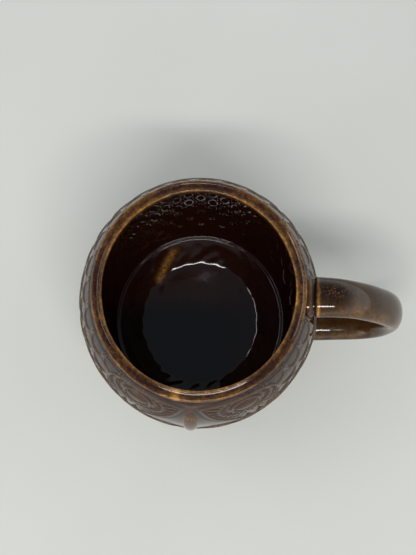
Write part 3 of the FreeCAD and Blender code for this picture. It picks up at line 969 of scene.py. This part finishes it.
def make_handle(glaze):
    """The strap, with a groove across it near the upper root, and the slip that joins it to the wall."""
    stations = 420
    around = 72
    points, directions, at = strap_line(stations)
    to_go = at[-1] - at
    share = at / at[-1]
    top, middle, bottom = STRAP_WIDTHS
    bow = (2 * (top + bottom) - 4 * middle) * share * (1 - share)
    widths = (top + (bottom - top) * share - bow) / 2 + ROOT_SPREAD * np.exp(-at / ROOT_FADE)
    groove = GROOVE_DEPTH * np.exp(-np.abs((at - GROOVE_AT) / GROOVE_WIDTH) ** 3)
    root_flare = np.minimum(1.5 * np.exp(-(to_go - 3.0) / 1.6) * (share > 0.5), 1.6)
    uneven = 0.08 * wander(at * 0.21, at * 0.43 + 1.1, at * 0.09 + 0.4)
    widths = widths - groove + root_flare + uneven
    thicknesses = STRAP_THICKNESS / 2 - groove + root_flare - 0.05 + 0.5 * uneven
    values = strap_glaze(at, around)
    strap = sweep("handle_strap", points, directions, widths, thicknesses, around, values)
    finish_piece(strap, glaze, ["handle"])

    start = at < GROOVE_AT - GROOVE_WIDTH * 0.75
    rounding = 0.5 * smooth_step((at[start] - (GROOVE_AT - 2.0)) / 1.4) ** 2
    swelling = groove[start] + COLLAR_LIFT - rounding
    upper = sweep(
        "upper_joint_collar", points[start], directions[start],
        widths[start] + swelling, thicknesses[start] + swelling,
        around, even_glaze(start.sum(), around, 0.1),
    )
    finish_piece(upper, glaze, ["upper_handle_joint"])

    end = to_go < LOWER_COLLAR
    swelling = np.minimum(0.9 * np.exp(-(to_go[end] - 2.2) / 1.1), 1.5)
    lower = sweep(
        "lower_joint_collar", points[end], directions[end],
        widths[end] + swelling, thicknesses[end] + swelling,
        around, even_glaze(end.sum(), around, -0.1),
    )
    finish_piece(lower, glaze, ["lower_handle_joint"])


# ---------------------------------------------------------------- studio

CAMERA_TILT = math.radians(79.7)      # above the horizon
CAMERA_TURN = math.radians(3.9)        # round the mug, so the face looks a little to the left
CAMERA_DISTANCE = 452.2
CAMERA_TARGET = (3.42, 4.44)           # where it looks, at the height of the lip, before it is turned
CAMERA_LENS = 79.5                     # millimetres, on a 36 mm sensor
SENSOR = 36.0


def make_camera():
    data = bpy.data.cameras.new("camera")
    data.sensor_width = SENSOR
    data.lens = CAMERA_LENS
    data.clip_start = 0.01
    data.dof.use_dof = False
    camera = bpy.data.objects.new("camera", data)
    bpy.context.scene.collection.objects.link(camera)
    back = Vector((0, -math.cos(CAMERA_TILT), math.sin(CAMERA_TILT)))
    right = Vector((1, 0, 0))
    up = back.cross(right)
    target = Vector((CAMERA_TARGET[0], CAMERA_TARGET[1], HEIGHT))
    place = (target + back * CAMERA_DISTANCE) * MM
    turn = Matrix.Rotation(CAMERA_TURN, 4, "Z")
    axes = Matrix((right, up, back)).transposed().to_4x4()
    camera.matrix_world = turn @ Matrix.Translation(place) @ axes
    bpy.context.scene.camera = camera


def make_light(name, place, size, power, colour):
    """An area light that faces the mug. Its place is turned with the camera."""
    data = bpy.data.lights.new(name, "AREA")
    data.shape = "RECTANGLE"
    data.size = size[0]
    data.size_y = size[1]
    data.energy = power
    data.color = colour
    light = bpy.data.objects.new(name, data)
    bpy.context.scene.collection.objects.link(light)
    back = Vector(place).normalized()
    right = Vector((0, 1, 0)).cross(back).normalized()
    axes = Matrix((right, back.cross(right), back)).transposed().to_4x4()
    turn = Matrix.Rotation(CAMERA_TURN, 4, "Z")
    light.matrix_world = turn @ Matrix.Translation(place) @ axes


def make_world():
    """A soft room: dim above, brighter towards the horizon."""
    world = bpy.data.worlds.new("room")
    world.use_nodes = True
    bpy.context.scene.world = world
    nodes = world.node_tree.nodes
    links = world.node_tree.links
    background = nodes["Background"]
    direction = nodes.new("ShaderNodeTexCoord").outputs["Generated"]
    split = nodes.new("ShaderNodeSeparateXYZ")
    links.new(direction, split.inputs[0])
    stops = [
        (0.0, (1.30, 1.31, 1.28)),
        (0.30, (1.25, 1.26, 1.24)),
        (0.52, (0.55, 0.555, 0.56)),
        (0.72, (0.27, 0.28, 0.29)),
        (0.90, (0.17, 0.185, 0.20)),
        (0.97, (0.155, 0.19, 0.225)),
    ]
    links.new(add_ramp(nodes, links, split.outputs["Z"], stops), background.inputs["Color"])
    background.inputs["Strength"].default_value = 1.0


def make_floor():
    half = 1.5
    steps = 6
    ticks = np.linspace(-half, half, steps) / MM
    points = [(x, y, 0.0) for y in ticks for x in ticks]
    faces = []
    for j in range(steps - 1):
        for i in range(steps - 1):
            a = j * steps + i
            faces.append([a, a + 1, a + steps + 1, a + steps])
    floor = make_piece("floor", points, faces, {})
    floor.data.materials.append(make_paper("pale_paper"))


def make_lights():
    """A long strip in front, which throws the main shadow, a faint one at the side and a low window."""
    warm = (1.0, 0.985, 0.95)
    cool = (0.98, 0.99, 1.0)
    make_light("front_strip", (0.06, -0.68, 1.34), (0.9, 0.11), 8.5, warm)
    make_light("side_strip", (-0.72, 0.2, 1.30), (0.10, 0.8), 1.8, warm)
    make_light("window", (-1.7, -1.5, 0.9), (1.6, 1.2), 6, cool)


def make_mug():
    body_stops = [
        (0.0, BLACK_BROWN),
        (0.32, OXBLOOD),
        (0.5, DARK_BROWN),
        (0.68, BROWN),
        (0.9, AMBER),
        (1.0, HONEY),
    ]
    coat_stops = [(0.0, BLACK_BROWN), (0.4, DARK_BROWN), (0.66, BROWN), (0.88, AMBER), (1.0, HONEY)]
    handle_stops = [(0.0, BLACK_BROWN), (0.28, UMBER), (0.55, OLIVE_BROWN), (0.82, AMBER), (1.0, HONEY)]
    feather_glaze = make_glaze("glaze_feathers", coat_stops, mottle=0.18, wave=0.05)
    face_glaze = make_glaze("glaze_face", coat_stops, mottle=0.16, wave=0.05)
    eye_glaze = make_glaze("glaze_eyes", coat_stops, mottle=0.12, wave=0.04)
    make_vessel(make_glaze("glaze_body", body_stops, mottle=0.16))
    make_coat(feather_glaze, face_glaze)
    make_eye(-1, eye_glaze)
    make_eye(1, eye_glaze)
    make_beak(face_glaze)
    make_handle(make_glaze("glaze_handle", handle_stops, mottle=0.2, streak=0.2))
    make_foot(make_clay("bare_clay"))


bpy.context.scene.view_settings.view_transform = "Standard"
make_camera()
make_world()
make_floor()
make_lights()
make_mug()
